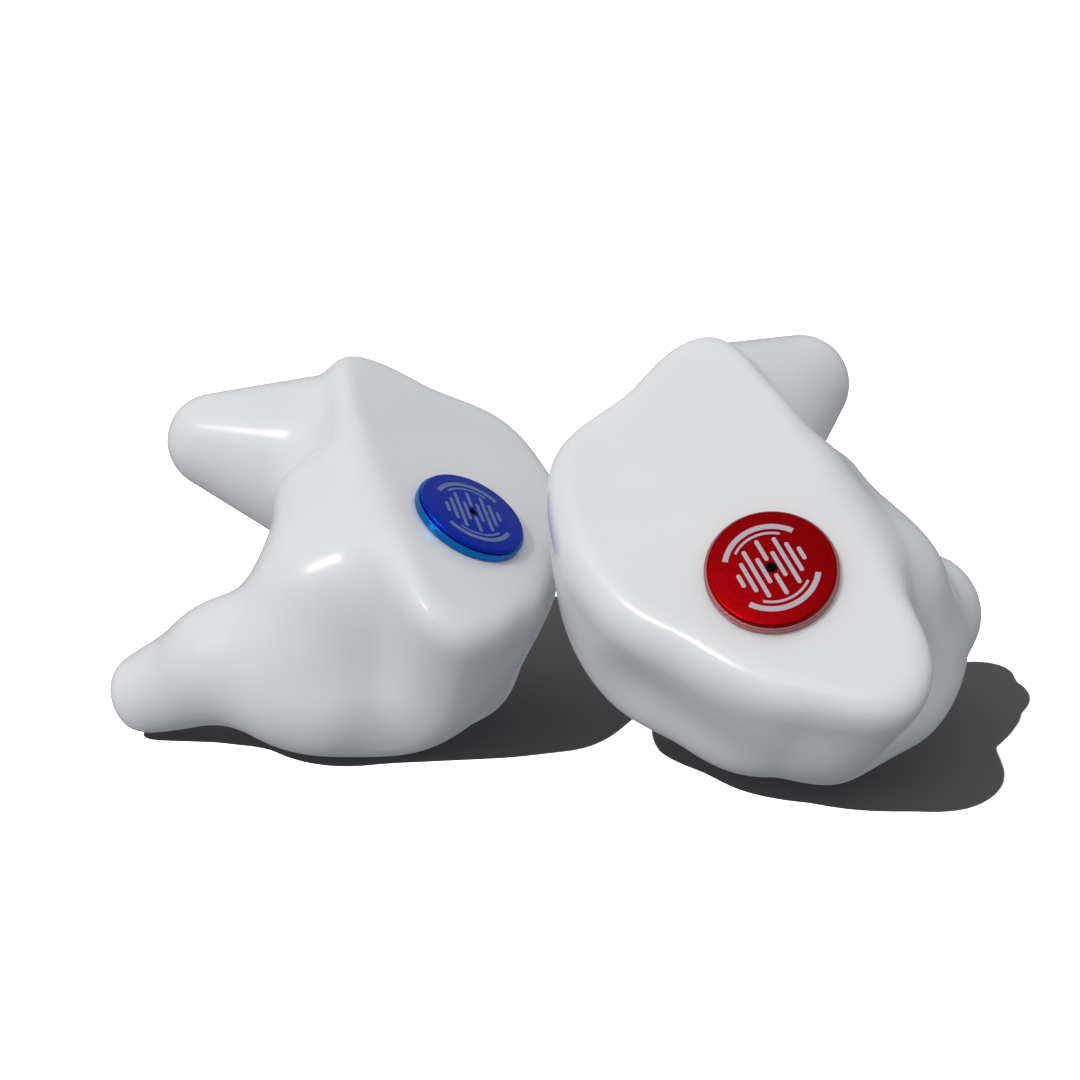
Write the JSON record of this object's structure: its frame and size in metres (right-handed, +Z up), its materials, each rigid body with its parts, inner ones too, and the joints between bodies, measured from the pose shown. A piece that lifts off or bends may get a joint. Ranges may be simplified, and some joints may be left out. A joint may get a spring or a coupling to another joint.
{
  "type": "custom in-ear monitors",
  "caption": "Pair of glossy white custom-moulded in-ear monitors, left and right, each with an anodised face disc, drivers in a steel capsule, a sound tube and a cable socket.",
  "frame": {"origin": "on the table top, under the middle of the pair's bounding box", "axes": "+Z up; +X runs from the left earpiece to the right one; +Y points away from the side the picture was taken from"},
  "size_m": [0.0623, 0.0388, 0.0286],
  "materials": {
    "silicone": "glossy white cast silicone",
    "anodised_red": "red anodised, satin, with a pale engraved pattern",
    "anodised_blue": "blue anodised, satin, with a pale engraved pattern",
    "steel": "drawn steel",
    "magnet": "nickel-plated magnet",
    "copper": "enamelled copper",
    "gold": "gold-plated",
    "film": "thin polymer",
    "board": "circuit board",
    "black_plastic": "moulded",
    "clear_plastic": "clear flexible tube",
    "seal_rubber": "sealing ring"
  },
  "bodies": {
    "left_earpiece": {"left_mould": "silicone", "left_disc_seal": "seal_rubber", "left_capsule_housing": "steel", "left_crossover_board": "board", "left_driver_frame": "black_plastic", "left_driver_yoke": "steel", "left_driver_magnet": "magnet", "left_top_plate": "steel", "left_tweeter": "steel", "left_sound_tube": "clear_plastic", "left_damper": "film", "left_wax_ring": "clear_plastic", "left_wax_mesh": "steel", "left_socket_body": "black_plastic", "left_contact_a": "gold", "left_contact_b": "gold", "left_lead_a": "copper", "left_lead_b": "copper"},
    "left_disc": {"left_face_disc": "anodised_blue", "left_vent_screen": "steel"},
    "left_diaphragm_set": {"left_diaphragm": "film", "left_voice_coil": "copper"},
    "right_earpiece": {"right_mould": "silicone", "right_disc_seal": "seal_rubber", "right_capsule_housing": "steel", "right_crossover_board": "board", "right_driver_frame": "black_plastic", "right_driver_yoke": "steel", "right_driver_magnet": "magnet", "right_top_plate": "steel", "right_tweeter": "steel", "right_sound_tube": "clear_plastic", "right_damper": "film", "right_wax_ring": "clear_plastic", "right_wax_mesh": "steel", "right_socket_body": "black_plastic", "right_contact_a": "gold", "right_contact_b": "gold", "right_lead_a": "copper", "right_lead_b": "copper"},
    "right_disc": {"right_face_disc": "anodised_red", "right_vent_screen": "steel"},
    "right_diaphragm_set": {"right_diaphragm": "film", "right_voice_coil": "copper"}
  },
  "joints": [
    {"name": "pair_separation", "type": "slide", "parent": "left_earpiece", "child": "right_earpiece", "axis": [1, 0, 0], "range_m": [0, 0.04]},
    {"name": "left_disc_lift", "type": "slide", "parent": "left_earpiece", "child": "left_disc", "axis": [0.4718, -0.3134, 0.8241], "range_m": [0, 0.004]},
    {"name": "left_diaphragm_travel", "type": "slide", "parent": "left_earpiece", "child": "left_diaphragm_set", "axis": [0.4718, -0.3134, 0.8241], "range_m": [-0.00015, 0.00015], "stiffness_N_per_m": 70},
    {"name": "right_disc_lift", "type": "slide", "parent": "right_earpiece", "child": "right_disc", "axis": [-0.1446, -0.7169, 0.682], "range_m": [0, 0.004]},
    {"name": "right_diaphragm_travel", "type": "slide", "parent": "right_earpiece", "child": "right_diaphragm_set", "axis": [-0.1446, -0.7169, 0.682], "range_m": [-0.00015, 0.00015], "stiffness_N_per_m": 70}
  ]
}
